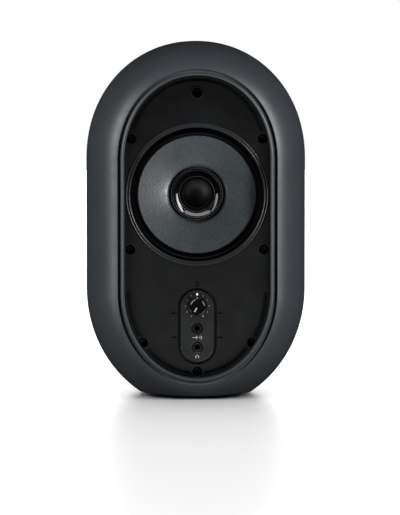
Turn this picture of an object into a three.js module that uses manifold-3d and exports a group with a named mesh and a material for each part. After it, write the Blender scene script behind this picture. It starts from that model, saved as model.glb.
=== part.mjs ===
// A compact active desktop monitor: a pill-shaped moulded cabinet with a recessed front
// baffle, a 4.5 inch two-way coaxial driver, a control pod with volume knob and two 3.5 mm
// jacks, and a ported rear panel with a sunken connector bay.
// Millimetres, +Z up, the front faces -Y, the origin is under the cabinet's centre.

import * as THREE from 'three';
import { mergeVertices } from 'three/addons/utils/BufferGeometryUtils.js';
import Module from 'manifold-3d';

const wasm = await Module();
wasm.setup();

// Driving dimensions.

const cabinet = { width: 153, height: 247, depth: 124, wall: 3.2, floorTop: 7 };
const front = -cabinet.depth / 2;
const back = cabinet.depth / 2;
const halfWidth = cabinet.width / 2;

// The pill is two half superellipses with straight sides between them. The lower one runs
// on below the foot plane, which cuts it off.
// Insets count for less at the crown, so that the front opening sits a little high.
const crown = { centre: 165.2, reach: cabinet.height - 165.2, squareness: 2.07, share: 0.89 };
const belly = { centre: 74.2, reach: 84.6, squareness: 2, share: 0.96 };

const widest = -14; // the depth at which the cabinet is widest
const crest = { inset: 21.3, y: front + 0.9, start: 12 }; // where the side meets the front groove
const tail = { inset: 46, length: 78, end: 69 }; // the long rear curve, an ellipse cut at an angle
const lip = { inset: 26.1, band: 2.6, grooveDepth: 2.8 }; // the rolled lip round the front opening
const ledge = { y: front + 20, inset: 34, thickness: 4, wall: 2.4 };
// The rubber foot sits in a pocket, well inside the cabinet's flat underside.
const foot = { standOff: 2.2, thickness: 4.2, halfWidth: 31, forward: 31, backward: 40, gap: 0.3 };

const baffle = { front: front + 10, plate: 3.5, gap: 0.3, skirt: 2.2, back: ledge.y - 1.2 };
const channel = { inset: 29.2, width: 2.4, depth: 1.4, hold: 5.4 };
const screwHole = { head: 3.3, shank: 1.8, pilot: 1.6, seat: 2, cup: 4.7 };
const baffleSlot = { width: 1.6, height: 4.2, above: 15.8, depth: 1.2 }; // the slit above the pod
const sideNotch = { x: 15.8, width: 3.4, height: 1.5, heights: [59.6, 42.9] };
const pod = { halfWidth: 11.5, low: 37.4, high: 63.6, moat: 2, moatDepth: 2.4, proud: 0.6, plate: 3 };
const knobHeight = pod.high + 0.9;
const jackHeights = { aux: 49.1, headphone: 35.8 };
const ledHeight = 72.5;
const knob = { gap: 0.4, rise: 6.4, base: 6.75, cap: 5.6, shaftHole: 3.1, shaft: 2.9, pointerTurn: 210 };
const plugBore = 1.85; // half of a 3.5 mm socket's hole

const driverHeight = 141.4;
const driverLip = { inner: 46.4, outer: 49.4, proud: 1.2 };

const rear = { inset: 38.5, pocket: 4.6, ledgeWidth: 5, ledge: 2.5, plate: 2.5 };
const panelOuter = back - rear.pocket + 0.1 + rear.plate; // the rear panel's outer face
const bay = { halfWidth: 28, low: 58, high: 146, corner: 7, floor: 48.2, skin: 2.2 };
const port = { height: 178, inner: 15, wall: 2, flange: 22.5, front: 14 };

const ROUND = 24; // sides of the large round pieces
const SMALL = 12; // sides of the small round pieces

// Materials.

const plastic = (colour, roughness = 0.6) =>
  new THREE.MeshStandardMaterial({ color: colour, roughness, metalness: 0 });
const metal = (colour, roughness = 0.4) =>
  new THREE.MeshStandardMaterial({ color: colour, roughness, metalness: 1 });

const materials = {
  shell: plastic(0x2b2d30, 0.5),
  baffle: plastic(0x1d1e20, 0.6),
  pod: plastic(0x26282b, 0.5),
  gloss: plastic(0x0a0a0b, 0.12),
  black: plastic(0x111213, 0.45),
  rubber: plastic(0x121212, 0.8),
  cone: plastic(0x3a4043, 0.55),
  dome: plastic(0x1a1a1b, 0.35),
  foam: plastic(0x2a2a2c, 1),
  board: plastic(0x14512f, 0.5),
  led: plastic(0xf4f6ff, 0.3),
  red: plastic(0xa81e1e, 0.4),
  white: plastic(0xe6e6e2, 0.4),
  paper: plastic(0xb98c4a, 0.8),
  copper: metal(0xb5683a),
  steel: metal(0x9a9da0),
  blackSteel: metal(0x1b1b1c, 0.5),
  aluminium: metal(0xb9bcbf),
  ferrite: plastic(0x2c2c2e, 0.7),
  wire: plastic(0x151515, 0.6),
};

// Solids.

function toSolid(geometry) {
  const bare = geometry.clone();
  bare.deleteAttribute('normal');
  bare.deleteAttribute('uv');
  const merged = mergeVertices(bare, 1e-4);
  const solid = new wasm.Manifold(
    new wasm.Mesh({
      numProp: 3,
      vertProperties: merged.attributes.position.array,
      triVerts: new Uint32Array(merged.index.array),
    }),
  );
  return solid;
}

function toGeometry(solid) {
  const mesh = solid.getMesh();
  const geometry = new THREE.BufferGeometry();
  geometry.setAttribute('position', new THREE.BufferAttribute(Float32Array.from(mesh.vertProperties), 3));
  geometry.setIndex(new THREE.BufferAttribute(Uint32Array.from(mesh.triVerts), 1));
  geometry.computeVertexNormals();
  return geometry;
}

const join = (first, ...rest) =>
  toGeometry(rest.reduce((solid, geometry) => solid.add(toSolid(geometry)), toSolid(first)));
const cut = (first, ...tools) =>
  toGeometry(tools.reduce((solid, geometry) => solid.subtract(toSolid(geometry)), toSolid(first)));
const common = (first, second) => toGeometry(toSolid(first).intersect(toSolid(second)));

// A quad grid over rows x columns of points, wrapped both ways or capped at its first and last rows.
function skin(rows, columns, pointAt, capped) {
  const points = [];
  const index = [];
  for (let i = 0; i < rows; i++) {
    for (let j = 0; j < columns; j++) {
      points.push(...pointAt(i, j));
    }
  }
  const at = (i, j) => (i % rows) * columns + (j % columns);
  const strips = capped ? rows - 1 : rows;
  for (let i = 0; i < strips; i++) {
    for (let j = 0; j < columns; j++) {
      index.push(at(i, j), at(i, j + 1), at(i + 1, j));
      index.push(at(i + 1, j), at(i, j + 1), at(i + 1, j + 1));
    }
  }
  if (capped) {
    for (let j = 1; j < columns - 1; j++) {
      index.push(at(0, 0), at(0, j + 1), at(0, j));
      index.push(at(rows - 1, 0), at(rows - 1, j), at(rows - 1, j + 1));
    }
  }
  const geometry = new THREE.BufferGeometry();
  geometry.setAttribute('position', new THREE.Float32BufferAttribute(points, 3));
  geometry.setIndex(index);
  return facingOut(geometry);
}

// Turns the faces round where the mesh encloses a negative volume.
function facingOut(geometry) {
  const p = geometry.getAttribute('position');
  const index = geometry.getIndex().array;
  const corner = [0, 1, 2].map(() => new THREE.Vector3());
  let volume = 0;
  for (let i = 0; i < index.length; i += 3) {
    corner.forEach((c, k) => c.fromBufferAttribute(p, index[i + k]));
    volume += corner[0].dot(corner[1].clone().cross(corner[2]));
  }
  if (volume < 0) index.reverse();
  return geometry;
}

// A body of revolution about a line along Y, from [radius, y] points in either direction.
function turned(points, segments = ROUND) {
  const area = points.reduce((sum, [r, y], k) => {
    const [nextR, nextY] = points[(k + 1) % points.length];
    return sum + r * nextY - nextR * y;
  }, 0);
  const ordered = area > 0 ? points : [...points].reverse();
  const onAxis = ordered.some(([r]) => r === 0);
  const startsOnAxis = () => ordered[0][0] === 0 && ordered[ordered.length - 1][0] === 0;
  while (onAxis && !startsOnAxis()) {
    ordered.push(ordered.shift());
  }
  const loop = onAxis ? ordered : [...ordered, ordered[0]];
  return new THREE.LatheGeometry(loop.map(([r, y]) => new THREE.Vector2(r, y)), segments);
}

// A cylinder along Y between two depths.
function rod(radius, yFront, yBack, x = 0, z = 0, segments = SMALL) {
  return new THREE.CylinderGeometry(radius, radius, yBack - yFront, segments)
    .translate(x, (yFront + yBack) / 2, z);
}

function block(x, y, z) {
  return new THREE.BoxGeometry(x[1] - x[0], y[1] - y[0], z[1] - z[0])
    .translate((x[0] + x[1]) / 2, (y[0] + y[1]) / 2, (z[0] + z[1]) / 2);
}

// A flat shape drawn in X and Z, as a plate between two depths.
function plate(shape, yFront, yBack, curveSegments = 8) {
  return new THREE.ExtrudeGeometry(shape, { depth: yBack - yFront, bevelEnabled: false, curveSegments })
    .rotateX(Math.PI / 2)
    .translate(0, yBack, 0);
}

// A stadium with its round ends at two heights.
function stadium(half, low, high, Kind = THREE.Shape) {
  const shape = new Kind();
  shape.absarc(0, high, half, 0, Math.PI);
  shape.absarc(0, low, half, Math.PI, 2 * Math.PI);
  shape.closePath();
  return shape;
}

function roundedBox(width, height, radius, x = 0, z = 0) {
  const shape = new THREE.Shape();
  const right = x + width / 2 - radius;
  const left = x - width / 2 + radius;
  const top = z + height / 2 - radius;
  const bottom = z - height / 2 + radius;
  shape.absarc(right, top, radius, 0, Math.PI / 2);
  shape.absarc(left, top, radius, Math.PI / 2, Math.PI);
  shape.absarc(left, bottom, radius, Math.PI, 1.5 * Math.PI);
  shape.absarc(right, bottom, radius, 1.5 * Math.PI, 2 * Math.PI);
  shape.closePath();
  return shape;
}

const group = new THREE.Group();
const wide = [-100, 100]; // further than the cabinet reaches, for cutting tools

function place(name, geometry, material, parent = group, x = 0, y = 0, z = 0) {
  const mesh = new THREE.Mesh(geometry, material);
  mesh.name = name;
  mesh.position.set(x, y, z);
  parent.add(mesh);
  return mesh;
}

// The pill outline.

const ARC_STEPS = 14; // steps round each half of the pill

// The point of the pill, inset by a distance, at a share of a turn (0 is the right-hand side).
function pillPoint(inset, turn) {
  const angle = 2 * Math.PI * turn;
  const half = Math.sin(angle) > -1e-9 ? crown : belly;
  const power = 2 / half.squareness;
  const x = (halfWidth - inset) * Math.sign(Math.cos(angle)) * Math.abs(Math.cos(angle)) ** power;
  const rise = (half.reach - inset * half.share) * Math.abs(Math.sin(angle)) ** power;
  return [x, half === crown ? crown.centre + rise : belly.centre - rise];
}

const halfTurns = Array.from({ length: ARC_STEPS + 1 }, (_, k) => k / ARC_STEPS / 2);
const tiny = 1e-9; // keeps the lower half's ends on the lower half
const pillTurns = [...halfTurns, ...halfTurns.map((turn) => 0.5 + Math.min(Math.max(turn, tiny), 0.5 - tiny))];

// The same turns for both halves, so that the two ends of each straight side are both points.
function pillStation(inset, station) {
  const turn = pillTurns[station];
  const low = station > ARC_STEPS;
  const [x, z] = pillPoint(inset, turn);
  const isEnd = station === ARC_STEPS + 1 || station === pillTurns.length - 1;
  return low && isEnd ? [Math.sign(x) * (halfWidth - inset), belly.centre] : [x, z];
}

function pillShape(inset, Kind = THREE.Shape) {
  return new Kind(pillTurns.map((_, k) => new THREE.Vector2(...pillStation(inset, k))));
}

// A closed [inset, y] profile carried round the pill, or a capped stack of its sections.
function pillSweep(profile, capped = false) {
  return skin(
    profile.length,
    pillTurns.length,
    (i, j) => {
      const [x, z] = pillStation(profile[i][0], j);
      return [x, profile[i][1], z];
    },
    capped,
  );
}

// Cabinet.

// The cabinet's outside from the front crest to the rear edge, as [inset, y] points.
function bodyCurve(frontSteps, rearSteps) {
  const start = THREE.MathUtils.degToRad(crest.start);
  const bulge = crest.inset / (1 - Math.sin(start));
  const nose = (widest - crest.y) / Math.cos(start);
  const points = [];
  for (let k = 0; k <= frontSteps; k++) {
    const t = start + (Math.PI / 2 - start) * (k / frontSteps);
    points.push([bulge * (1 - Math.sin(t)), widest - nose * Math.cos(t)]);
  }
  const end = THREE.MathUtils.degToRad(tail.end);
  for (let k = 1; k <= rearSteps; k++) {
    const s = end * (k / rearSteps);
    points.push([tail.inset * (1 - Math.cos(s)), widest + tail.length * Math.sin(s)]);
  }
  return points;
}

// Moves a curve inwards by a distance, along its own normals.
function moveIn(points, distance) {
  return points.map(([inset, y], k) => {
    const [insetBefore, yBefore] = points[Math.max(k - 1, 0)];
    const [insetAfter, yAfter] = points[Math.min(k + 1, points.length - 1)];
    const along = new THREE.Vector2(insetAfter - insetBefore, yAfter - yBefore).normalize();
    return [inset + distance * along.y, y - distance * along.x];
  });
}

const outside = bodyCurve(6, 6);
const rearEdge = [tail.inset * (1 - Math.cos(THREE.MathUtils.degToRad(tail.end))) + 3.2, back];

function cabinetShell() {
  const inside = moveIn(bodyCurve(3, 3), cabinet.wall).filter(
    ([inset, y]) => y > front + 5 && y < back - 9 && inset < lip.inset - ledge.wall + 8,
  );
  const wallBack = ledge.y + ledge.thickness;
  const sleeve = lip.inset - ledge.wall;
  const bandOuter = lip.inset - lip.band;
  const pocket = back - rear.pocket;
  const pocketInner = rear.inset + rear.ledgeWidth;
  const profile = [
    ...outside,
    rearEdge,
    [rear.inset, back],
    [rear.inset, pocket],
    [pocketInner, pocket],
    [pocketInner, pocket - rear.ledge],
    [rear.inset - 3, pocket - rear.ledge],
    ...inside.reverse(),
    [sleeve, front + 5],
    [sleeve, wallBack],
    [ledge.inset, wallBack],
    [ledge.inset, ledge.y],
    [lip.inset, ledge.y],
    [lip.inset, front + 0.4],
    [lip.inset - 0.5, front],
    [bandOuter + 0.8, front + 0.6],
    [bandOuter + 0.1, front + 1.7],
    [bandOuter - 0.2, front + lip.grooveDepth],
    [crest.inset + 0.3, front + lip.grooveDepth + 0.3],
  ];
  const aboveFoot = block(wide, wide, [foot.standOff, cabinet.height + 50]);
  const walls = common(pillSweep(profile), aboveFoot);
  const solidBody = pillSweep([[crest.inset, front + 3], ...outside.slice(1), rearEdge], true);
  const slab = block(wide, wide, [foot.standOff, cabinet.floorTop]);
  let shell = join(walls, common(solidBody, slab));
  shell = cut(shell, footSolid(foot.gap));
  const [topX, topZ] = baffleScrews[0];
  const web = block([topX - 4, topX + 4], [ledge.y + 0.4, wallBack - 0.4], [topZ, topZ + 8]);
  const rearLedge = pocket - rear.ledge;
  const frontBosses = baffleScrews.map(([x, z]) => rod(4, ledge.y + 0.5, wallBack + 8, x, z, 8));
  const rearBosses = rearScrews.map(([x, z]) => rod(3.4, rearLedge - 7, pocket - 0.5, x, z, 8));
  shell = join(shell, web, ...frontBosses, ...rearBosses);
  const frontPilots = baffleScrews.map(([x, z]) => rod(screwHole.pilot, ledge.y - 1, wallBack + 7, x, z, 8));
  const rearPilots = rearScrews.map(([x, z]) => rod(screwHole.pilot, rearLedge - 6, pocket + 1, x, z, 8));
  return cut(shell, ...frontPilots, ...rearPilots);
}

// The rubber foot, an oval pad from the ground up, or the pocket that it needs with a gap round it.
function footSolid(gap = 0) {
  const half = foot.halfWidth + gap;
  const oval = new THREE.Shape();
  oval.absellipse(0, widest, half, foot.backward + gap, 0, Math.PI);
  oval.absellipse(0, widest, half, foot.forward + gap, Math.PI, 2 * Math.PI);
  const depth = foot.thickness + gap;
  return new THREE.ExtrudeGeometry(oval, { depth, bevelEnabled: false, curveSegments: 14 });
}

// Front baffle.

const baffleScrews = [
  [0, 211.9],
  [-45.2, 180],
  [45.2, 180],
  [-46.2, 103.5],
  [46.2, 103.5],
  [-37.6, 39],
  [37.6, 39],
  [0, 18.8],
];
const driverScrews = [
  [-26, 45],
  [26, 45],
  [-26, -45],
  [26, -45],
];

// The shallow channel round the baffle, in stretches that stop short of the screws and the driver.
function channelTools() {
  const ring = pillShape(channel.inset - channel.width / 2);
  ring.holes.push(pillShape(channel.inset + channel.width / 2, THREE.Path));
  const band = toSolid(plate(ring, baffle.front - 1, baffle.front + channel.depth));
  const stops = baffleScrews.slice(1).map(([x, z]) => rod(channel.hold, front, 0, x, z, 8));
  const besideDriver = block(wide, [front, 0], [baffleScrews[3][1], baffleScrews[1][1]]);
  const left = [...stops, besideDriver].reduce((solid, stop) => solid.subtract(toSolid(stop)), band);
  return left.decompose().map(toGeometry);
}

function frontBaffle() {
  const edge = lip.inset + baffle.gap;
  const plateBack = baffle.front + baffle.plate;
  const tray = pillShape(edge);
  tray.holes.push(pillShape(edge + baffle.skirt, THREE.Path));
  const cups = baffleScrews.map(([x, z]) => rod(screwHole.cup, plateBack - 0.5, baffle.back, x, z, 8));
  const within = plate(pillShape(edge), front, 0);
  const skirt = plate(tray, plateBack - 0.5, baffle.back);
  let body = join(plate(pillShape(edge), baffle.front, plateBack), skirt, ...cups);
  body = common(body, within);
  const lipTop = baffle.front - driverLip.proud;
  const bead = turned([
    [driverLip.inner - 0.4, baffle.front + 1],
    [driverLip.inner, baffle.front - 0.2],
    [driverLip.inner + 0.9, lipTop],
    [driverLip.outer - 0.5, lipTop],
    [driverLip.outer, lipTop + 0.6],
    [driverLip.outer, baffle.front + 1],
  ]).translate(0, 0, driverHeight);
  body = join(body, bead);
  const moat = stadium(pod.halfWidth + pod.moat, pod.low, pod.high);
  const podHole = stadium(pod.halfWidth + 0.3, pod.low, pod.high);
  const slotDepth = [front, baffle.front + baffleSlot.depth];
  const slot = (x, z, width, height) =>
    block([x - width / 2, x + width / 2], slotDepth, [z - height / 2, z + height / 2]);
  const slots = [
    slot(0, pod.high + baffleSlot.above, baffleSlot.width, baffleSlot.height),
    ...sideNotch.heights.flatMap((z) => [
      slot(-sideNotch.x, z, sideNotch.width, sideNotch.height),
      slot(sideNotch.x, z, sideNotch.width, sideNotch.height),
    ]),
  ];
  const holes = baffleScrews.flatMap(([x, z]) => [
    rod(screwHole.head, front, baffle.back - screwHole.seat, x, z, 12),
    rod(screwHole.shank, front, 0, x, z, 8),
  ]);
  const pilots = driverScrews.map(([x, z]) => rod(1.4, plateBack - 2.4, 0, x, driverHeight + z, 8));
  return cut(
    body,
    rod(driverLip.inner, baffle.front + 0.8, 0, 0, driverHeight, ROUND),
    rod(driverLip.inner - 0.3, front, 0, 0, driverHeight, ROUND),
    plate(moat, front, baffle.front + pod.moatDepth),
    plate(podHole, front, 0),
    ...channelTools(),
    ...slots,
    ...holes,
    ...pilots,
  );
}

function baffleGasket() {
  const ring = pillShape(lip.inset + 0.5);
  ring.holes.push(pillShape(lip.inset + 4.9, THREE.Path));
  const strip = plate(ring, baffle.back + 0.15, ledge.y - 0.15);
  return cut(strip, ...baffleScrews.map(([x, z]) => rod(2.2, front, 0, x, z, 8)));
}

// A pan head screw along Y with a cross recess, its head's underside at 0 and its head towards -Y.
function screw(headRadius, headHeight, shankRadius, length) {
  const head = turned(
    [
      [0, -headHeight],
      [headRadius * 0.8, -headHeight],
      [headRadius, 0],
      [shankRadius, 0],
      [shankRadius, length],
      [0, length],
    ],
    8,
  );
  const reach = headRadius * 0.55;
  const thick = headRadius * 0.14;
  const depth = [-headHeight - 1, -headHeight * 0.4];
  const across = block([-reach, reach], depth, [-thick, thick]);
  const upright = block([-thick, thick], depth, [-reach, reach]);
  return cut(head, across, upright);
}

// Control pod.

function controlPanel() {
  const top = baffle.front - pod.proud;
  const body = plate(stadium(pod.halfWidth, pod.low, pod.high), top, top + pod.plate, 9);
  const sink = (radius, z) =>
    turned([
      [0, top - 1],
      [radius + 0.9, top - 1],
      [radius + 0.9, top],
      [radius, top + 0.9],
      [radius, top + 8],
      [0, top + 8],
    ], 16).translate(0, 0, z);
  return cut(
    body,
    sink(3.3, jackHeights.aux),
    sink(3.3, jackHeights.headphone),
    rod(4.2, front, 0, 0, knobHeight, 16),
    rod(1, front, 0, 0, ledHeight, 8),
  );
}

const podBoard = -37; // the front face of the pod's circuit board

function headphoneStyleJack() {
  const collar = baffle.front - pod.proud + 0.5;
  const barrel = turned([
    [0, collar],
    [2.6, collar],
    [3, collar + 0.4],
    [3, collar + 5],
    [0, collar + 5],
  ], 14);
  const body = block([-4.5, 4.5], [collar + 4, podBoard - 0.1], [-5.2, 5.2]);
  return cut(join(barrel, body), rod(plugBore, front, podBoard - 2, 0, 0, 14));
}

function volumeKnob() {
  const base = baffle.front - pod.proud - knob.gap;
  const cap = base - knob.rise;
  const body = turned([
    [0, cap + 0.5],
    [knob.cap - 1, cap + 0.4],
    [knob.cap - 0.6, cap],
    [knob.cap, cap + 0.2],
    [knob.cap + 0.5, cap + 1.4],
    [knob.base - 0.45, base - 1.6],
    [knob.base, base - 0.9],
    [knob.base, base],
    [0, base],
  ], 24);
  const turn = THREE.MathUtils.degToRad(knob.pointerTurn);
  const pointer = block([-0.45, 0.45], [cap - 1, cap + 0.9], [1.3, 4.3]).rotateY(turn);
  return cut(body, rod(knob.shaftHole, base - 4.6, 0, 0, 0, 14), pointer);
}

function potentiometer() {
  const faceplate = baffle.front - pod.proud + pod.plate + 0.3;
  const body = block([-5.6, 5.6], [faceplate + 0.6, podBoard - 0.1], [-5.6, 5.6]);
  const bush = rod(3.9, faceplate - 2.6, faceplate + 1, 0, 0, 14);
  return cut(join(body, bush), rod(3.2, front, podBoard - 4, 0, 0, 14));
}

function controlBoard() {
  const board = plate(roundedBox(25, 46, 2, 0, 51.2), podBoard, podBoard + 1.6, 2);
  const socket = block([-7, 7], [podBoard + 1.5, podBoard + 7], [29, 33]);
  return join(board, socket);
}

// Coaxial driver (about its own axis).

const magnetFront = -22;
const polePlate = { hole: 17.9, radius: 34, thickness: 5 };
const ferrite = { hole: 20, radius: 36.5, front: -16.9, back: -3 };
const yoke = { hole: 3, radius: 34, pole: 14.6, front: -2.9, back: 2.1 };
const coil = { inner: 16.1, outer: 16.9, front: -24, back: -15 };
const former = { inner: 15.3, outer: 15.95, front: -35.4 };
const coneRim = { radius: 41.2, y: -48.5 };
const coneWaist = { radius: 20.3, y: -43.2 };
const coneThickness = 1.2;

function wooferBasket() {
  const seat = baffle.front + baffle.plate + 0.1;
  let frame = turned([
    [43.7, seat],
    [47.3, seat],
    [47.3, seat + 2],
    [45.4, seat + 2],
    [37.6, -25.2],
    [34, magnetFront - 0.1],
    [22, magnetFront - 0.1],
    [22, -24],
    [33.2, -24],
    [33.2, -27.5],
    [36.2, -27.5],
    [43.7, -45],
  ]);
  const ears = driverScrews.map(([x, z]) => rod(4.2, seat, seat + 2, x, z, 10));
  const bridges = driverScrews.map(([x, z]) =>
    block([-4.2, 4.2], [seat, seat + 2], [43, 52]).rotateY(Math.atan2(x, z)),
  );
  frame = join(frame, ...ears, ...bridges);
  const windows = [0, 60, 120].map((angle) =>
    block([-70, 70], [-43, -30], [-11, 11]).rotateY(THREE.MathUtils.degToRad(angle)),
  );
  return cut(frame, ...windows, ...driverScrews.map(([x, z]) => rod(1.5, front, 0, x, z, 8)));
}

// The cone's face is shallow, with a short steep neck behind the tweeter's rim.
function wooferCone() {
  const face = [
    [16.2, -34.6],
    [18.6, -40.4],
    [coneWaist.radius, coneWaist.y],
    [30.2, -46.2],
    [coneRim.radius, coneRim.y],
  ];
  const behind = face.map(([r, y]) => [r, y + coneThickness]).reverse();
  return turned([...face, ...behind]);
}

// Half a roll of rubber between the cone's edge and the basket, with a flat outer lip.
function wooferSurround() {
  const roll = { inner: 41.5, outer: 45.2, thickness: 0.6 };
  const middle = (roll.inner + roll.outer) / 2;
  const radius = (roll.outer - roll.inner) / 2;
  const base = coneRim.y + 0.1;
  const arc = (r, steps) =>
    Array.from({ length: steps + 1 }, (_, k) => {
      const angle = Math.PI * (k / steps);
      return [middle - r * Math.cos(angle), base - r * Math.sin(angle) - 0.3];
    });
  return turned([
    ...arc(radius, 4),
    [45.9, base - 0.5],
    [45.9, base - 0.1],
    [roll.outer - 0.4, base - 0.1],
    ...arc(radius - roll.thickness, 3).reverse(),
    [roll.inner, base + 0.6],
  ]);
}

function spider() {
  const rings = 6;
  const face = Array.from({ length: rings + 1 }, (_, k) => [
    16.4 + (34.8 - 16.4) * (k / rings),
    -28.3 + (k === 0 || k >= rings - 1 ? 0 : k % 2 ? 0.8 : -0.8),
  ]);
  const behind = face.map(([r, y]) => [r, y + 0.6]).reverse();
  return turned([...face, ...behind], 24);
}

function tYoke() {
  return turned([
    [yoke.hole, yoke.back],
    [yoke.radius, yoke.back],
    [yoke.radius, yoke.front],
    [yoke.pole, yoke.front],
    [yoke.pole, magnetFront],
    [yoke.hole, magnetFront],
  ]);
}

// A plain ring about the driver's axis.
function ring(inner, outer, yFront, yBack) {
  return turned([
    [inner, yFront],
    [outer, yFront],
    [outer, yBack],
    [inner, yBack],
  ]);
}

function tweeterHousing() {
  return turned([
    [0, -36.2],
    [13, -36.2],
    [18.1, -42],
    [18.1, -43.9],
    [17.6, -44.2],
    [17, -43.5],
    [16.6, -44.3],
    [13, -42.5],
    [12.5, -41.8],
    [12.1, -42.4],
    [11.6, -41.6],
    [10.8, -41.7],
    [10.8, -38.4],
    [0, -38.4],
  ]);
}

function tweeterDome() {
  const radius = 9.6;
  const height = 3.7;
  const base = -41.7;
  const sphere = (radius ** 2 + height ** 2) / (2 * height);
  const cap = (grow, steps) =>
    Array.from({ length: steps + 1 }, (_, k) => {
      const r = radius * (k / steps);
      return [r, base - height + sphere - Math.sqrt(sphere ** 2 - r ** 2) + grow];
    });
  return turned([
    ...cap(0, 4),
    [10, base - 0.5],
    [10.4, base],
    [10.4, base + 0.5],
    [9.6, base + 0.6],
    [9.6, base + 1.9],
    [9.2, base + 1.9],
    ...cap(0.6, 3).reverse().slice(1),
  ], 24);
}

function terminalStrip() {
  const strip = block([-10, 10], [-41, -29], [-45.4, -43.8]);
  const lugs = [-6, 6].map((x) => block([x - 1.4, x + 1.4], [-30, -25.5], [-45, -44.2]));
  return join(strip, ...lugs);
}

// Rear panel.

const rearScrews = [
  [0, 208.4],
  [-34.2, 118],
  [34.2, 118],
  [0, 32.7],
];
const bayMiddle = (bay.low + bay.high) / 2;
const balancedX = 14;
const rowHeights = { terminals: 131, balanced: 108.5, phono: 90, power: 71 };
const phonoX = 9;
const inletCentre = [12.5, rowHeights.power];
const switchCentre = [-14.5, rowHeights.power];
const leverPivot = { y: bay.floor + 6.8, z: rowHeights.terminals + 7.4 };
const boardFace = 34; // the rear face of the amplifier board

function rearPanel() {
  const inner = panelOuter - rear.plate;
  const face = plate(pillShape(rear.inset + 0.3), inner, panelOuter);
  const height = bay.high - bay.low;
  const grown = 2 * bay.skin;
  const skinBox = roundedBox(2 * bay.halfWidth + grown, height + grown, bay.corner + bay.skin, 0, bayMiddle);
  const hollow = roundedBox(2 * bay.halfWidth, height, bay.corner, 0, bayMiddle);
  const tub = plate(skinBox, bay.floor - bay.skin, panelOuter, 4);
  let panel = cut(join(face, tub), plate(hollow, bay.floor, back + 5, 4));
  const through = (shape) => plate(shape, 0, back, 2);
  panel = cut(
    panel,
    rod(port.inner + port.wall + 0.3, 0, back + 5, 0, port.height, 24),
    ...rearScrews.map(([x, z]) => rod(screwHole.shank, 0, back + 5, x, z, 8)),
    ...[-1, 1].map((side) => rod(5.3, 0, back, side * balancedX, rowHeights.balanced, 14)),
    ...[-1, 1].map((side) => rod(4.9, 0, back, side * phonoX, rowHeights.phono, 14)),
    through(roundedBox(34.6, 18.6, 1, 0, rowHeights.terminals)),
    through(roundedBox(20.6, 12.6, 4, ...inletCentre)),
    through(roundedBox(13.6, 19.6, 1, ...switchCentre)),
  );
  return panel;
}

function portTube() {
  const outerR = port.inner + port.wall;
  const mouth = [];
  for (let k = 0; k <= 3; k++) {
    const a = (Math.PI / 2) * (k / 3);
    mouth.push([port.inner + 5 * (1 - Math.cos(a)), panelOuter + 1.6 - 5 * (1 - Math.sin(a))]);
  }
  return turned([
    [outerR, port.front + 1],
    [outerR, panelOuter + 0.1],
    [port.flange, panelOuter + 0.1],
    [port.flange - 0.4, panelOuter + 1.4],
    ...mouth.reverse(),
    [port.inner, port.front + 2],
    [port.inner + 1, port.front],
  ], 24);
}

// A 6.35 mm jack with its ring nut, along Y with its mouth towards +Y.
function balancedJack() {
  const nut = turned([
    [0, bay.floor + 0.1],
    [6.8, bay.floor + 0.1],
    [6.8, bay.floor + 1.8],
    [6, bay.floor + 2.6],
    [0, bay.floor + 2.6],
  ], 14);
  const thread = rod(5, bay.floor - 4, bay.floor + 4.2, 0, 0, 14);
  const body = block([-7.5, 7.5], [boardFace + 0.2, bay.floor - bay.skin - 0.2], [-7.5, 7.5]);
  return cut(join(body, thread, nut), rod(3.3, boardFace + 3, back, 0, 0, 14));
}

// A phono socket along Y: the ring that the plug grips, on its flange.
function phonoSocket() {
  const flange = rod(6.4, bay.floor + 0.1, bay.floor + 1.3, 0, 0, 14);
  const barrel = rod(4.15, bay.floor - 3, bay.floor + 9, 0, 0, 14);
  const neck = rod(4.6, bay.floor - 3, bay.floor + 0.6, 0, 0, 14);
  const body = block([-6.4, 6.4], [boardFace + 0.2, bay.floor - bay.skin - 0.2], [-6.4, 6.4]);
  return cut(join(body, neck, flange, barrel), rod(1.7, bay.floor + 1, back, 0, 0, 10));
}

function terminalBlock() {
  const [half, tall] = [17, 9];
  const z = rowHeights.terminals;
  const frame = plate(roundedBox(2 * half + 4, 2 * tall + 4, 2, 0, z), bay.floor + 0.1, bay.floor + 1.6, 2);
  const body = block([-half, half], [bay.floor - 8, bay.floor + 6], [z - tall, z + tall]);
  const pockets = [-1, 1].map((side) =>
    block([side * 8.2 - 5.6, side * 8.2 + 5.6], [bay.floor - 2, bay.floor + 8], [z - 2.6, z + 8.2]),
  );
  const wireHoles = [-1, 1].map((side) => rod(1.8, bay.floor - 4, back, side * 8.2, z - 5.8, 10));
  return cut(join(frame, body), ...pockets, ...wireHoles);
}

// A push lever of the terminal block, about its own pivot line along X.
function terminalLever() {
  const tab = block([-5.1, 5.1], [-2.2, 0.9], [-9.4, -0.4]);
  const knuckle = new THREE.CylinderGeometry(1.3, 1.3, 10.2, 10)
    .rotateZ(Math.PI / 2)
    .translate(0, -0.9, -0.9);
  const ridge = block([-5.1, 5.1], [0.5, 2], [-9.4, -7.8]);
  return join(tab, knuckle, ridge);
}

// A figure-eight mains inlet: flanged shell with two pins in its well.
function mainsInlet() {
  const [x, z] = inletCentre;
  const flange = plate(roundedBox(25, 17, 5, x, z), bay.floor + 0.1, bay.floor + 1.8, 3);
  const body = plate(roundedBox(20, 12, 4, x, z), boardFace + 0.2, bay.floor + 1, 3);
  const well = plate(roundedBox(15.4, 7.6, 3.7, x, z), bay.floor - 10, back, 4);
  const pins = [-4.3, 4.3].map((dx) => rod(1.15, bay.floor - 10.5, bay.floor - 1.5, x + dx, z, 8));
  return join(cut(join(flange, body), well), ...pins);
}

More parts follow.
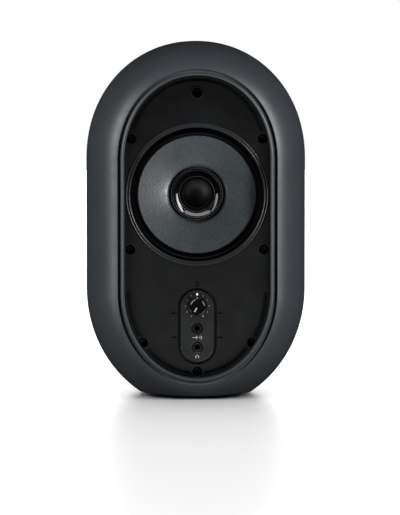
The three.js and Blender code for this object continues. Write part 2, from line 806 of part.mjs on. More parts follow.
function switchHousing() {
  const [x, z] = switchCentre;
  const flange = plate(roundedBox(16, 22, 1.5, x, z), bay.floor + 0.1, bay.floor + 1.6, 2);
  const body = plate(roundedBox(13, 19, 0.8, x, z), bay.floor - 11, bay.floor + 1, 1);
  return cut(join(flange, body), block([x - 5.2, x + 5.2], [bay.floor - 6, back], [z - 8, z + 8]));
}

// The rocker, about its own pivot line along X, tipped over to one side.
const rockerTilt = 8;
function switchRocker() {
  const shape = new THREE.Shape([
    new THREE.Vector2(-7.4, 2.6),
    new THREE.Vector2(0, 1.4),
    new THREE.Vector2(7.4, 2.6),
    new THREE.Vector2(7.2, -0.6),
    new THREE.Vector2(2.2, -2.4),
    new THREE.Vector2(-2.2, -2.4),
    new THREE.Vector2(-7.2, -0.6),
  ]);
  return new THREE.ExtrudeGeometry(shape, { depth: 9.6, bevelEnabled: false })
    .translate(0, 0, -4.8)
    .rotateY(Math.PI / 2)
    .rotateX(THREE.MathUtils.degToRad(-rockerTilt));
}

// Electronics inside.

function amplifierBoard() {
  const board = plate(roundedBox(54, 92, 2, 0, 102), boardFace - 1.6, boardFace, 2);
  const chips = block([-10, 10], [boardFace - 5, boardFace - 1.5], [118, 124]);
  const caps = [-20, -9].map((x) => rod(4.6, boardFace - 16, boardFace - 1.5, x, 134, 12));
  const header = block([-27, -15], [boardFace - 8, boardFace - 1.5], [96, 100]);
  return join(board, chips, ...caps, header);
}

function heatSink() {
  const fins = Array.from({ length: 6 }, (_, k) => block([4 + 4 * k, 5.6 + 4 * k], [12, 30], [90, 108]));
  return join(block([4, 25.6], [29, boardFace - 1.8], [90, 108]), ...fins);
}

function powerTransformer() {
  const core = plate(roundedBox(30, 25, 1, 6, 72), 10, boardFace - 4, 1);
  const coil = plate(roundedBox(22, 31, 3, 6, 72), 13, boardFace - 7, 2);
  const bobbin = block([-6, 18], [boardFace - 8, boardFace - 1.8], [64, 80]);
  return join(core, coil, bobbin);
}

// A lead of round section through hand-laid points.
function lead(points, radius, steps) {
  const path = new THREE.CatmullRomCurve3(points.map((p) => new THREE.Vector3(...p)));
  const section = new THREE.Shape();
  section.absarc(0, 0, radius, 0, 2 * Math.PI);
  const options = { steps, extrudePath: path, curveSegments: 3, bevelEnabled: false };
  return new THREE.ExtrudeGeometry(section, options);
}

function dampingFoam() {
  const rows = Array.from({ length: 9 }, (_, k) => new THREE.Vector2(-28 + 7 * k, k % 2 ? 200 : 206));
  const shape = new THREE.Shape([...rows, new THREE.Vector2(28, 216), new THREE.Vector2(-28, 216)]);
  return plate(shape, -26, 22);
}

// Assembly.

place('cabinet_shell', cabinetShell(), materials.shell);
place('rubber_foot', footSolid(), materials.rubber);
place('front_baffle', frontBaffle(), materials.baffle);
place('baffle_gasket', baffleGasket(), materials.foam);
place('damping_foam', dampingFoam(), materials.foam);

const baffleScrewSolid = screw(2.6, 2, 1.25, 13);
baffleScrews.forEach(([x, z], k) => {
  const seat = baffle.back - screwHole.seat - 0.1;
  place(`baffle_screw_${k + 1}`, baffleScrewSolid, materials.blackSteel, group, x, seat, z);
});

place('control_panel', controlPanel(), materials.pod);
const ledEnds = [baffle.front - pod.proud - 0.1, podBoard - 0.1];
place('power_led', rod(0.85, ...ledEnds, 0, ledHeight, 8), materials.led);
place('aux_jack', headphoneStyleJack(), materials.black, group, 0, 0, jackHeights.aux);
place('headphone_jack', headphoneStyleJack(), materials.black, group, 0, 0, jackHeights.headphone);
place('volume_potentiometer', potentiometer(), materials.steel, group, 0, 0, knobHeight);
place('control_board', controlBoard(), materials.board);
const shaftEnds = [baffle.front - pod.proud - 4.8, podBoard - 4.3];
const shaft = rod(knob.shaft, ...shaftEnds, 0, 0, 14);
place('potentiometer_shaft', shaft, materials.aluminium, group, 0, 0, knobHeight);
place('volume_knob', volumeKnob(), materials.gloss, group, 0, 0, knobHeight);

const driver = new THREE.Group();
driver.position.z = driverHeight;
group.add(driver);
place('woofer_basket', wooferBasket(), materials.blackSteel, driver);
place('woofer_cone', wooferCone(), materials.cone, driver);
place('woofer_surround', wooferSurround(), materials.rubber, driver);
place('woofer_spider', spider(), materials.paper, driver);
const formerRing = ring(former.inner, former.outer, former.front, coil.back);
place('voice_coil_former', formerRing, materials.paper, driver);
place('voice_coil_winding', ring(coil.inner, coil.outer, coil.front, coil.back), materials.copper, driver);
const polePlateRing = ring(polePlate.hole, polePlate.radius, magnetFront, magnetFront + polePlate.thickness);
place('front_pole_plate', polePlateRing, materials.steel, driver);
const ferriteRing = ring(ferrite.hole, ferrite.radius, ferrite.front, ferrite.back);
place('ferrite_magnet', ferriteRing, materials.ferrite, driver);
place('magnet_yoke', tYoke(), materials.steel, driver);
place('tweeter_post', rod(5.5, -36.1, magnetFront - 0.1, 0, 0, 20), materials.aluminium, driver);
place('tweeter_housing', tweeterHousing(), materials.gloss, driver);
place('tweeter_magnet', rod(8.4, -40.1, -38.5, 0, 0, 24), materials.steel, driver);
place('tweeter_dome', tweeterDome(), materials.dome, driver);
place('terminal_strip', terminalStrip(), materials.paper, driver);
const driverScrewSolid = screw(2.6, 1.7, 1.1, 4.4).rotateX(Math.PI);
driverScrews.forEach(([x, z], k) => {
  const seat = baffle.front + baffle.plate + 2.2;
  place(`driver_screw_${k + 1}`, driverScrewSolid, materials.blackSteel, driver, x, seat, z);
});

place('rear_panel', rearPanel(), materials.baffle);
place('port_tube', portTube(), materials.black, group, 0, 0, port.height);
const rearScrewSolid = screw(2.8, 1.8, 1.25, 8.4).rotateX(Math.PI);
rearScrews.forEach(([x, z], k) => {
  place(`rear_screw_${k + 1}`, rearScrewSolid, materials.blackSteel, group, x, panelOuter + 0.1, z);
});
place('balanced_jack_left', balancedJack(), materials.black, group, balancedX, 0, rowHeights.balanced);
place('balanced_jack_right', balancedJack(), materials.black, group, -balancedX, 0, rowHeights.balanced);
place('phono_jack_white', phonoSocket(), materials.white, group, phonoX, 0, rowHeights.phono);
place('phono_jack_red', phonoSocket(), materials.red, group, -phonoX, 0, rowHeights.phono);
place('terminal_block', terminalBlock(), materials.black);
place('terminal_lever_red', terminalLever(), materials.red, group, 8.2, leverPivot.y, leverPivot.z);
place('terminal_lever_black', terminalLever(), materials.black, group, -8.2, leverPivot.y, leverPivot.z);
place('mains_inlet', mainsInlet(), materials.black);
place('switch_housing', switchHousing(), materials.black);
const [rockerX, rockerZ] = switchCentre;
place('switch_rocker', switchRocker(), materials.black, group, rockerX, bay.floor + 1.2, rockerZ);

place('amplifier_board', amplifierBoard(), materials.board);
place('heat_sink', heatSink(), materials.aluminium);
place('power_transformer', powerTransformer(), materials.copper);
const driverLeadPath = [
  [-12, 31.5, 112],
  [-12, 20, 108],
  [-8, 6, 98],
  [-2, -10, 93],
  [-6, -24.9, 96.8],
];
const ribbonPath = [
  [0, -28.6, 31],
  [-8, -15, 36],
  [-20, 5, 60],
  [-22, 16, 90],
  [-21, 24.7, 98],
];
place('driver_lead', lead(driverLeadPath, 1.2, 12), materials.wire);
place('control_ribbon', lead(ribbonPath, 1.6, 12), materials.wire);

export default group;
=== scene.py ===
import math

import bmesh
import bpy
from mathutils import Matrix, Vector


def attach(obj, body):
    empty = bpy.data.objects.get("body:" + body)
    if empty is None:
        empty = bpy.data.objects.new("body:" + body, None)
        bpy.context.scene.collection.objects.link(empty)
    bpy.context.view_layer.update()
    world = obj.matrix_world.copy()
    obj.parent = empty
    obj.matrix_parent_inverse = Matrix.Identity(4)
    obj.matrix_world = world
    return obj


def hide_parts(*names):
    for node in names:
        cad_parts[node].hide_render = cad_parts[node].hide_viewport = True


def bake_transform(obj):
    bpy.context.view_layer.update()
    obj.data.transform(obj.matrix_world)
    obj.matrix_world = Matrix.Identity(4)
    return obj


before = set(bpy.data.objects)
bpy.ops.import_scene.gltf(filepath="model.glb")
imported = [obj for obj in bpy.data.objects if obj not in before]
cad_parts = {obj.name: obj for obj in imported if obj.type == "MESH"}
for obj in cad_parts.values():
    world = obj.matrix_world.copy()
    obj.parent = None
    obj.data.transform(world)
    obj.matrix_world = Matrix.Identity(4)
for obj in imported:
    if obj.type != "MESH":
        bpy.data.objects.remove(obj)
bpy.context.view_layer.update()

mm = 0.001  # every length below is in millimetres until a mesh is made, apart from the studio's

# the outline seen from the front: an arch, straight sides and a bowl, with the same sizes as the CAD part
halfWidth = 76.5
front, widest, back = -62.0, -14.0, 62.0
crown = {"centre": 165.2, "reach": 81.8, "squareness": 2.07, "share": 0.89}
belly = {"centre": 74.2, "reach": 84.6, "squareness": 2.0, "share": 0.96}
driverHeight = 141.4
portHeight = 178


# mesh tools
def shadeWithEdges(mesh, sharp):
    mesh.shade_smooth()
    mesh.set_sharp_from_angle(angle=math.radians(sharp))


def meshPiece(name, vertices, faces, sharp=35):
    mesh = bpy.data.meshes.new(name)
    mesh.from_pydata([Vector(v) * mm for v in vertices], [], faces)
    mesh.validate()
    work = bmesh.new()
    work.from_mesh(mesh)
    bmesh.ops.remove_doubles(work, verts=work.verts, dist=1e-7)
    bmesh.ops.recalc_face_normals(work, faces=work.faces)
    work.to_mesh(mesh)
    work.free()
    shadeWithEdges(mesh, sharp)
    for face in mesh.polygons:  # long thin triangles on a flat front would smear a smooth shade
        if abs(face.normal.y) > 0.9999:
            face.use_smooth = False
    piece = bpy.data.objects.new(name, mesh)
    bpy.context.scene.collection.objects.link(piece)
    return piece


def joined(name, parts, sharp=35):  # one piece from several pairs of vertices and faces
    vertices, faces = [], []
    for partVertices, partFaces in parts:
        offset = len(vertices)
        vertices += list(partVertices)
        faces += [tuple(offset + k for k in face) for face in partFaces]
    return meshPiece(name, vertices, faces, sharp)


def grid(rows, columns, pointAt):  # closed along each row
    vertices = [pointAt(i, j) for i in range(rows) for j in range(columns)]
    faces = []
    for i in range(rows - 1):
        a, b = i * columns, (i + 1) * columns
        for j in range(columns):
            k = (j + 1) % columns
            faces.append((a + j, a + k, b + k, b + j))
    return vertices, faces


def pillPoint(inset, angle):  # a point of the outline moved in by the inset
    half = crown if math.sin(angle) > -1e-9 else belly
    power = 2 / half["squareness"]
    x = (halfWidth - inset) * math.copysign(abs(math.cos(angle)) ** power, math.cos(angle))
    rise = (half["reach"] - inset * half["share"]) * abs(math.sin(angle)) ** power
    return x, half["centre"] + (rise if half is crown else -rise)


def pillStations(steps=96):  # angles round the outline, with both ends of each straight side
    upper = [math.pi * k / steps for k in range(steps + 1)]
    lower = [math.pi * (1 + k / steps) for k in range(steps + 1)]
    lower[0], lower[-1] = math.pi + 1e-6, 2 * math.pi - 1e-6
    return upper + lower


def pill(inset):
    return [pillPoint(inset, angle) for angle in pillStations()]


def sweep(profile):  # a section of inset and depth, carried round the outline
    stations = pillStations()

    def pointAt(i, j):
        x, z = pillPoint(profile[i][0], stations[j])
        return x, profile[i][1], z

    return grid(len(profile), len(stations), pointAt)


def lathe(profile, centre=(0, 0), segments=96):  # a section of radius and depth, turned about a line along Y
    vertices, faces = [], []
    rings = []
    for radius, y in profile:
        if radius < 1e-6:
            rings.append([len(vertices)])
            vertices.append((centre[0], y, centre[1]))
            continue
        rings.append(list(range(len(vertices), len(vertices) + segments)))
        for k in range(segments):
            angle = 2 * math.pi * k / segments
            vertices.append((centre[0] + radius * math.cos(angle), y, centre[1] + radius * math.sin(angle)))
    for a, b in zip(rings, rings[1:]):
        for k in range(segments):
            n = (k + 1) % segments
            if len(a) == 1 and len(b) > 1:
                faces.append((a[0], b[k], b[n]))
            elif len(b) == 1 and len(a) > 1:
                faces.append((a[k], a[n], b[0]))
            elif len(a) > 1:
                faces.append((a[k], a[n], b[n], b[k]))
    return vertices, faces


def arc(cx, cy, radius, fromDegrees, toDegrees, steps):
    points = []
    for k in range(steps + 1):
        angle = math.radians(fromDegrees + (toDegrees - fromDegrees) * k / steps)
        points.append((cx + radius * math.cos(angle), cy + radius * math.sin(angle)))
    return points


def circle(radius, x=0, z=0, count=64):
    angles = [2 * math.pi * k / count for k in range(count)]
    return [(x + radius * math.cos(angle), z + radius * math.sin(angle)) for angle in angles]


def stadium(half, low, high, count=40):  # two half circles and straight sides
    angles = [math.pi * k / count for k in range(count + 1)]
    top = [(half * math.cos(angle), high + half * math.sin(angle)) for angle in angles]
    bottom = [(-half * math.cos(angle), low - half * math.sin(angle)) for angle in angles]
    return top + bottom


def roundedBox(width, height, radius, x=0, z=0, count=6):
    points = []
    for k, (sx, sz) in enumerate([(1, 1), (-1, 1), (-1, -1), (1, -1)]):
        for m in range(count + 1):
            angle = math.pi / 2 * (k + m / count)
            points.append((
                x + sx * (width / 2 - radius) + radius * math.cos(angle),
                z + sz * (height / 2 - radius) + radius * math.sin(angle),
            ))
    return points


def plate(outline, holes, yFront, yBack, bevel=0.0):  # flat, between two depths, with its edges rounded
    curve = bpy.data.curves.new("plate", "CURVE")
    curve.dimensions = "2D"
    curve.fill_mode = "BOTH"
    curve.extrude = ((yBack - yFront) / 2 - bevel) * mm
    curve.bevel_depth = bevel * mm
    curve.bevel_resolution = 2
    curve.offset = -bevel * mm
    for points in [outline, *holes]:
        spline = curve.splines.new("POLY")
        spline.points.add(len(points) - 1)
        for point, (x, z) in zip(spline.points, points):
            point.co = (x * mm, z * mm, 0, 1)
        spline.use_cyclic_u = True
    thing = bpy.data.objects.new("plate", curve)
    bpy.context.scene.collection.objects.link(thing)
    bpy.context.view_layer.update()
    mesh = bpy.data.meshes.new_from_object(thing.evaluated_get(bpy.context.evaluated_depsgraph_get()))
    bpy.data.objects.remove(thing)
    bpy.data.curves.remove(curve)
    middle = (yFront + yBack) / 2
    vertices = [(v.co.x / mm, middle - v.co.z / mm, v.co.y / mm) for v in mesh.vertices]
    faces = [tuple(p.vertices) for p in mesh.polygons]
    bpy.data.meshes.remove(mesh)
    return vertices, faces


def wall(outline, yFront, yBack):  # the side of a plate alone
    return grid(2, len(outline), lambda i, j: (outline[j][0], (yFront, yBack)[i], outline[j][1]))


def strip(outer, inner, outerY, innerY):  # a ribbon between two open lines
    vertices = [(x, outerY, z) for x, z in outer] + [(x, innerY, z) for x, z in inner]
    count = len(outer)
    return vertices, [(k, k + 1, count + k + 1, count + k) for k in range(count - 1)]


def block(x, y, z):  # each a pair of ends
    vertices = [(a, b, c) for a in x for b in y for c in z]
    return vertices, [(0, 1, 3, 2), (4, 6, 7, 5), (0, 4, 5, 1), (2, 3, 7, 6), (0, 2, 6, 4), (1, 5, 7, 3)]


def turnedBlock(x, y, z, degrees, centre):  # drawn upright about a centre, turned clockwise from the front
    vertices, faces = block(x, y, z)
    turn = math.radians(degrees)
    moved = []
    for px, py, pz in vertices:
        moved.append((
            centre[0] + px * math.cos(turn) + pz * math.sin(turn), py,
            centre[1] - px * math.sin(turn) + pz * math.cos(turn),
        ))
    return moved, faces


# materials
def noiseFrom(nodes, links, place, scale, detail):
    noise = nodes.new("ShaderNodeTexNoise")
    noise.inputs["Scale"].default_value = scale
    noise.inputs["Detail"].default_value = detail
    links.new(place.outputs["Object"], noise.inputs["Vector"])
    return noise


def rangeFrom(nodes, links, noise, low, high):
    spread = nodes.new("ShaderNodeMapRange")
    spread.inputs["From Min"].default_value = 0.3
    spread.inputs["From Max"].default_value = 0.7
    spread.inputs["To Min"].default_value = low
    spread.inputs["To Max"].default_value = high
    links.new(noise.outputs["Fac"], spread.inputs["Value"])
    return spread


# a base colour that drifts, a fine grain in the normal, and roughness with handling marks
def newMaterial(name, colour, roughness, **extra):
    look = {
        "drift": 0.06, "driftScale": 18, "grain": 0.02, "grainScale": 2600, "marks": 0.05, "marksScale": 70,
        "metal": 0.0, "specular": 0.5, "coat": 0.0,
    }
    look.update(extra)
    made = bpy.data.materials.new(name)
    made.use_nodes = True
    nodes, links = made.node_tree.nodes, made.node_tree.links
    shader = nodes["Principled BSDF"]
    shader.inputs["Metallic"].default_value = look["metal"]
    shader.inputs["Specular IOR Level"].default_value = look["specular"]
    shader.inputs["Coat Weight"].default_value = look["coat"]
    shader.inputs["Coat Roughness"].default_value = 0.06
    place = nodes.new("ShaderNodeTexCoord")

    drift = noiseFrom(nodes, links, place, look["driftScale"], 5)
    shade = rangeFrom(nodes, links, drift, 1 - look["drift"], 1 + look["drift"])
    tint = nodes.new("ShaderNodeVectorMath")
    tint.operation = "SCALE"
    tint.inputs[0].default_value = colour
    links.new(shade.outputs["Result"], tint.inputs["Scale"])
    links.new(tint.outputs["Vector"], shader.inputs["Base Color"])

    marks = noiseFrom(nodes, links, place, look["marksScale"], 6)
    marks.inputs["Distortion"].default_value = 0.6
    smoothest, roughest = max(roughness - look["marks"], 0.02), min(roughness + look["marks"], 1)
    rough = rangeFrom(nodes, links, marks, smoothest, roughest)
    links.new(rough.outputs["Result"], shader.inputs["Roughness"])

    grain = noiseFrom(nodes, links, place, look["grainScale"], 3)
    bump = nodes.new("ShaderNodeBump")
    bump.inputs["Strength"].default_value = 0.4
    bump.inputs["Distance"].default_value = look["grain"] * mm
    links.new(grain.outputs["Fac"], bump.inputs["Height"])
    links.new(bump.outputs["Normal"], shader.inputs["Normal"])
    return made


def lamp(name, colour, strength):
    made = newMaterial(name, colour, 0.3, drift=0.02)
    shader = made.node_tree.nodes["Principled BSDF"]
    shader.inputs["Emission Color"].default_value = (*colour, 1)
    shader.inputs["Emission Strength"].default_value = strength
    return made


materials = {
    "shell": newMaterial(
        "shell plastic", (0.040, 0.045, 0.051), 0.46, drift=0.04, grain=0.03, grainScale=1800, marks=0.04),
    # painted shade: the groove faces get their own copy of the shell plastic, duller and retuned in tone to
    # give the groove its shaded brightness; the real groove is the same shell plastic
    "groove": newMaterial(
        "groove shade plastic", (0.05, 0.055, 0.06), 0.6, drift=0.05, grain=0.03, grainScale=1800,
        specular=0.3),
    # painted highlight: a black lighter than the baffle plastic and the gloss tweeter housing it stands in
    # for, so the driver's trim bead and the tweeter's beads show as lit lines
    "trim": newMaterial(
        "trim black with painted highlight", (0.020, 0.021, 0.023), 0.32, drift=0.05, grain=0.0005, marks=0.02, specular=0.6),
    "baffle": newMaterial(
        "baffle plastic", (0.0085, 0.0092, 0.0102), 0.42, drift=0.08, grainScale=1500, specular=0.3),
    "rear": newMaterial(
        "rear panel plastic", (0.018, 0.019, 0.020), 0.5, drift=0.08, grain=0.06, grainScale=1400),
    "pod": newMaterial("pod plastic", (0.022, 0.0238, 0.0264), 0.34, drift=0.05, grainScale=2200),
    "gloss": newMaterial(
        "gloss plastic", (0.006, 0.006, 0.007), 0.09, drift=0.05, grain=0.002, marks=0.03, coat=0.3),
    "black": newMaterial("black plastic", (0.012, 0.012, 0.013), 0.36, drift=0.08),
    "rubber": newMaterial("rubber", (0.007, 0.007, 0.008), 0.45, drift=0.1, grainScale=1200, specular=0.3),
    "foot": newMaterial("foot rubber", (0.010, 0.010, 0.011), 0.75, drift=0.12, grain=0.06, grainScale=900),
    "cone": newMaterial(
        "coated paper", (0.050, 0.060, 0.066), 0.40, drift=0.26, driftScale=900, grain=0.3, grainScale=900,
        marks=0.08),
    "dome": newMaterial(
        "doped cloth", (0.003, 0.003, 0.0034), 0.45, drift=0.1, grain=0.10, grainScale=900, specular=0.22),
    "foam": newMaterial(
        "foam", (0.02, 0.02, 0.022), 0.95, drift=0.3, driftScale=500, grain=0.5, grainScale=700),
    "board": newMaterial("circuit board", (0.012, 0.09, 0.04), 0.35, drift=0.2, driftScale=120),
    "red": newMaterial("red plastic", (0.42, 0.018, 0.016), 0.3, drift=0.05),
    "white": newMaterial("white plastic", (0.72, 0.72, 0.69), 0.32, drift=0.04),
    "phenolic": newMaterial(
        "phenolic", (0.30, 0.17, 0.06), 0.6, drift=0.15, driftScale=200, grain=0.1, grainScale=1200),
    "copper": newMaterial(
        "enamelled copper", (0.50, 0.20, 0.09), 0.3, drift=0.1, driftScale=200, metal=0.9, grain=0.1),
    "steel": newMaterial("plated steel", (0.50, 0.50, 0.51), 0.32, drift=0.08, metal=1.0, grain=0.01),
    "blackSteel": newMaterial("black steel", (0.02, 0.02, 0.021), 0.4, drift=0.12, metal=0.4),
    "aluminium": newMaterial("aluminium", (0.62, 0.63, 0.65), 0.35, metal=1.0),
    "ferrite": newMaterial(
        "ferrite", (0.03, 0.03, 0.031), 0.75, drift=0.15, driftScale=80, grain=0.1, grainScale=800),
    "wire": newMaterial("wire sleeve", (0.015, 0.015, 0.016), 0.5, drift=0.1),
    "print": newMaterial("printed marks", (0.30, 0.31, 0.33), 0.5, drift=0.08),
    "printWhite": newMaterial("white print", (0.80, 0.81, 0.82), 0.45, drift=0.04),
    "led": lamp("light pipe", (0.95, 0.97, 1.0), 1.6),
}


def dress(piece, look, body, slot, *nodes):
    piece.data.materials.clear()
    piece.data.materials.append(materials[look])
    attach(piece, body)
    if nodes:
        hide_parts(*nodes)
    return piece


# CAD nodes that show as they are, or sit inside
screwNodes = [f"baffle_screw_{k}" for k in range(1, 9)]
driverScrewNodes = [f"driver_screw_{k}" for k in range(1, 5)]
plainNodes = {
    "foam": ["baffle_gasket", "damping_foam"],
    "board": ["control_board", "amplifier_board"],
    "steel": ["volume_potentiometer", "tweeter_magnet"],
    "aluminium": ["potentiometer_shaft", "tweeter_post", "heat_sink"],
    "blackSteel": ["front_pole_plate", "magnet_yoke", "woofer_basket", *screwNodes, *driverScrewNodes],
    "phenolic": ["voice_coil_former", "terminal_strip"],
    "copper": ["voice_coil_winding", "power_transformer"],
    "ferrite": ["ferrite_magnet"],
    "wire": ["driver_lead", "control_ribbon"],
    "black": ["terminal_block", "mains_inlet", "switch_housing", "switch_rocker", "terminal_lever_black"],
    "red": ["terminal_lever_red"],
}
roundedEdge = {"width": 0.25, "segments": 2, "angle": 40}
for look, names in plainNodes.items():
    for name in names:
        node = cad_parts[name]
        node.data.materials.clear()
        node.data.materials.append(materials[look])
for name in [*plainNodes["black"], *plainNodes["red"]]:  # the connectors that a hand can reach
    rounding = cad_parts[name].modifiers.new("edges", "BEVEL")
    rounding.width = roundedEdge["width"] * mm
    rounding.segments = roundedEdge["segments"]
    rounding.angle_limit = math.radians(roundedEdge["angle"])
print("materials ready")


# cabinet: insets are from the outline, "start" and "end" are angles of the section's two curves
crest = {"inset": 21.3, "y": front + 0.9, "start": 12, "steps": 26}
tail = {"inset": 46.0, "length": 78.0, "end": 69, "steps": 30}
lip = {"inset": 26.1, "band": 2.6, "grooveDepth": 2.8, "sleeve": 20, "rollDepth": 2.05, "rollSteps": 12}
rear = {"inset": 38.5, "pocket": 4.6, "ledge": 5, "ledgeThickness": 2.5}
foot = {
    "standOff": 2.2, "thickness": 4.2, "halfWidth": 31, "forward": 31, "backward": 40, "count": 96,
    "edge": [(0.0, 0.5), (0.15, 0.15), (0.5, 0.0)],  # how far in, and how high, round the lower edge
}


def bodyCurve():
    start = math.radians(crest["start"])
    bulge = crest["inset"] / (1 - math.sin(start))
    nose = (widest - crest["y"]) / math.cos(start)
    points = []
    for k in range(1, crest["steps"] + 1):
        t = start + (math.pi / 2 - start) * k / crest["steps"]
        points.append((bulge * (1 - math.sin(t)), widest - nose * math.cos(t)))
    for k in range(1, tail["steps"] + 1):
        t = math.radians(tail["end"]) * k / tail["steps"]
        points.append((tail["inset"] * (1 - math.cos(t)), widest + tail["length"] * math.sin(t)))
    return points


def cutBelow(piece, height, sharp):  # leaves a flat underside
    work = bmesh.new()
    work.from_mesh(piece.data)
    everything = work.verts[:] + work.edges[:] + work.faces[:]
    made = bmesh.ops.bisect_plane(
        work, geom=everything, plane_co=(0, 0, height * mm), plane_no=(0, 0, -1), clear_outer=True)
    edges = [e for e in made["geom_cut"] if isinstance(e, bmesh.types.BMEdge)]
    bmesh.ops.holes_fill(work, edges=edges, sides=0)
    bmesh.ops.recalc_face_normals(work, faces=work.faces)
    work.to_mesh(piece.data)
    work.free()
    shadeWithEdges(piece.data, sharp)


def cabinetShell():
    sharp = 40
    bandOuter = lip["inset"] - lip["band"]
    grooveFloor = front + lip["grooveDepth"]
    sleeve = [
        (lip["inset"], front + lip["sleeve"]),
        (lip["inset"], front + 0.5),
        *arc(lip["inset"] - 0.3, front + 0.35, 0.3, 0, -80, 4),
    ]
    band = []
    for k in range(lip["rollSteps"] + 1):  # the lip rolls over outwards
        t = math.radians(90 * k / lip["rollSteps"])
        inset = lip["inset"] - 0.5 - (lip["band"] - 0.5) * math.sin(t)
        band.append((inset, front + 2.1 - lip["rollDepth"] * math.cos(t)))
    groove = [
        (bandOuter, grooveFloor),
        (bandOuter - 0.15, grooveFloor + 0.12),
        (crest["inset"] + 0.3, grooveFloor + 0.2),
        (crest["inset"] + 0.15, grooveFloor),
        (crest["inset"] + 0.15, crest["y"] + 0.3),
        (crest["inset"] + 0.05, crest["y"] + 0.04),
    ]
    edge = tail["inset"] * (1 - math.cos(math.radians(tail["end"])))
    rim = [
        (edge + 1.4, back - 1.5),
        (edge + 2.5, back - 0.45),
        (edge + 3.4, back - 0.05),
        (rear["inset"] - 0.4, back),
        (rear["inset"], back - 0.4),
        (rear["inset"], back - rear["pocket"]),
        (rear["inset"] + rear["ledge"], back - rear["pocket"]),
        (rear["inset"] + rear["ledge"], back - rear["pocket"] - rear["ledgeThickness"]),
    ]
    piece = meshPiece("cabinetShell", *sweep([*sleeve, *band, *groove, *bodyCurve(), *rim]), sharp)
    cutBelow(piece, foot["standOff"], sharp)
    return piece


def sizeAgainstPill(inset, x, z):  # 1 on the outline moved in by the inset, and less inside it
    across = abs(x) / (halfWidth - inset)
    if belly["centre"] <= z <= crown["centre"]:
        return across
    half = crown if z > crown["centre"] else belly
    reach = half["reach"] - inset * half["share"]
    return across ** half["squareness"] + (abs(z - half["centre"]) / reach) ** half["squareness"]


def isInGroove(x, y, z):  # between the crest and the band, and below both
    if not front + 0.75 < y < front + lip["grooveDepth"] + 1:
        return False
    insideCrest = sizeAgainstPill(crest["inset"] + 0.1, x, z) <= 1
    return insideCrest and sizeAgainstPill(lip["inset"] - lip["band"] + 0.02, x, z) >= 1


shell = dress(cabinetShell(), "shell", "cabinet", "shell", "cabinet_shell")
# painted shade: the faces inside the groove take the groove plastic, which stands in for the shade in the
# groove
shell.data.materials.append(materials["groove"])
for face in shell.data.polygons:
    if isInGroove(*(face.center / mm)):
        face.material_index = 1


def rubberFoot():
    rings = [(0.0, foot["thickness"]), *foot["edge"]]
    count = foot["count"]
    vertices, faces = [], []
    for inset, height in rings:
        for k in range(count):
            angle = 2 * math.pi * k / count
            reach = foot["backward"] if math.sin(angle) > 0 else foot["forward"]
            x = (foot["halfWidth"] - inset) * math.cos(angle)
            vertices.append((x, widest + (reach - inset) * math.sin(angle), height))
    for i in range(len(rings) - 1):
        for k in range(count):
            n = (k + 1) % count
            faces.append((i * count + k, i * count + n, (i + 1) * count + n, (i + 1) * count + k))
    faces.append(tuple(range(count)))
    faces.append(tuple(range((len(rings) - 1) * count, len(rings) * count)))
    return meshPiece("rubberFoot", vertices, faces, 30)


dress(rubberFoot(), "foot", "cabinet", "rubber", "rubber_foot")
print("cabinet ready")


# front baffle, with the control pod's sizes, as the pod sits in a moat of its own
baffle = {"front": front + 10, "gap": 0.3, "layers": (1.4, 2.4, 3.5), "bevel": 0.22}
channel = {"inset": 29.2, "width": 2.4, "hold": 5.4, "rise": 0.3, "stations": 1440}
pod = {"halfWidth": 11.5, "low": 37.4, "high": 63.6, "moat": 2.0, "proud": 0.6}
driverLip = {"inner": 46.4, "outer": 49.4, "proud": 1.2}
screwWell = {"radius": 3.35, "bottom": 16.6, "bore": 1.5}
slots = {
    "slit": {"width": 2.2, "height": 4.2, "above": 16.2},
    "notch": {"width": 3.4, "height": 1.5, "across": 15.8, "heights": (59.6, 42.9)},
    "corner": 0.4,
}
baffleScrews = [
    (0, 211.9), (-45.2, 180), (45.2, 180), (-46.2, 103.5), (46.2, 103.5), (-37.6, 39), (37.6, 39), (0, 18.8),
]
podFront = baffle["front"] - pod["proud"]


def inChannel(angle):  # the channel stops short of the screws and the driver
    x, z = pillPoint(channel["inset"], angle)
    if any(math.hypot(x - sx, z - sz) < channel["hold"] for sx, sz in baffleScrews[1:]):
        return False
    return not baffleScrews[3][1] < z < baffleScrews[1][1]


def channelRuns():  # the outer and the inner line of each stretch
    outer = channel["inset"] - channel["width"] / 2
    inner = channel["inset"] + channel["width"] / 2
    runs, current = [], []
    for k in range(channel["stations"] + 1):
        angle = 2 * math.pi * k / channel["stations"] + math.pi * 1.5
        if inChannel(angle):
            current.append(angle)
        elif current:
            runs.append(current)
            current = []
    if current:
        runs.append(current)
    lines = []
    for run in runs:
        steps = run[:: max(1, len(run) // 60)] + [run[-1]]
        lines.append(([pillPoint(outer, a) for a in steps], [pillPoint(inner, a) for a in steps]))
    return lines


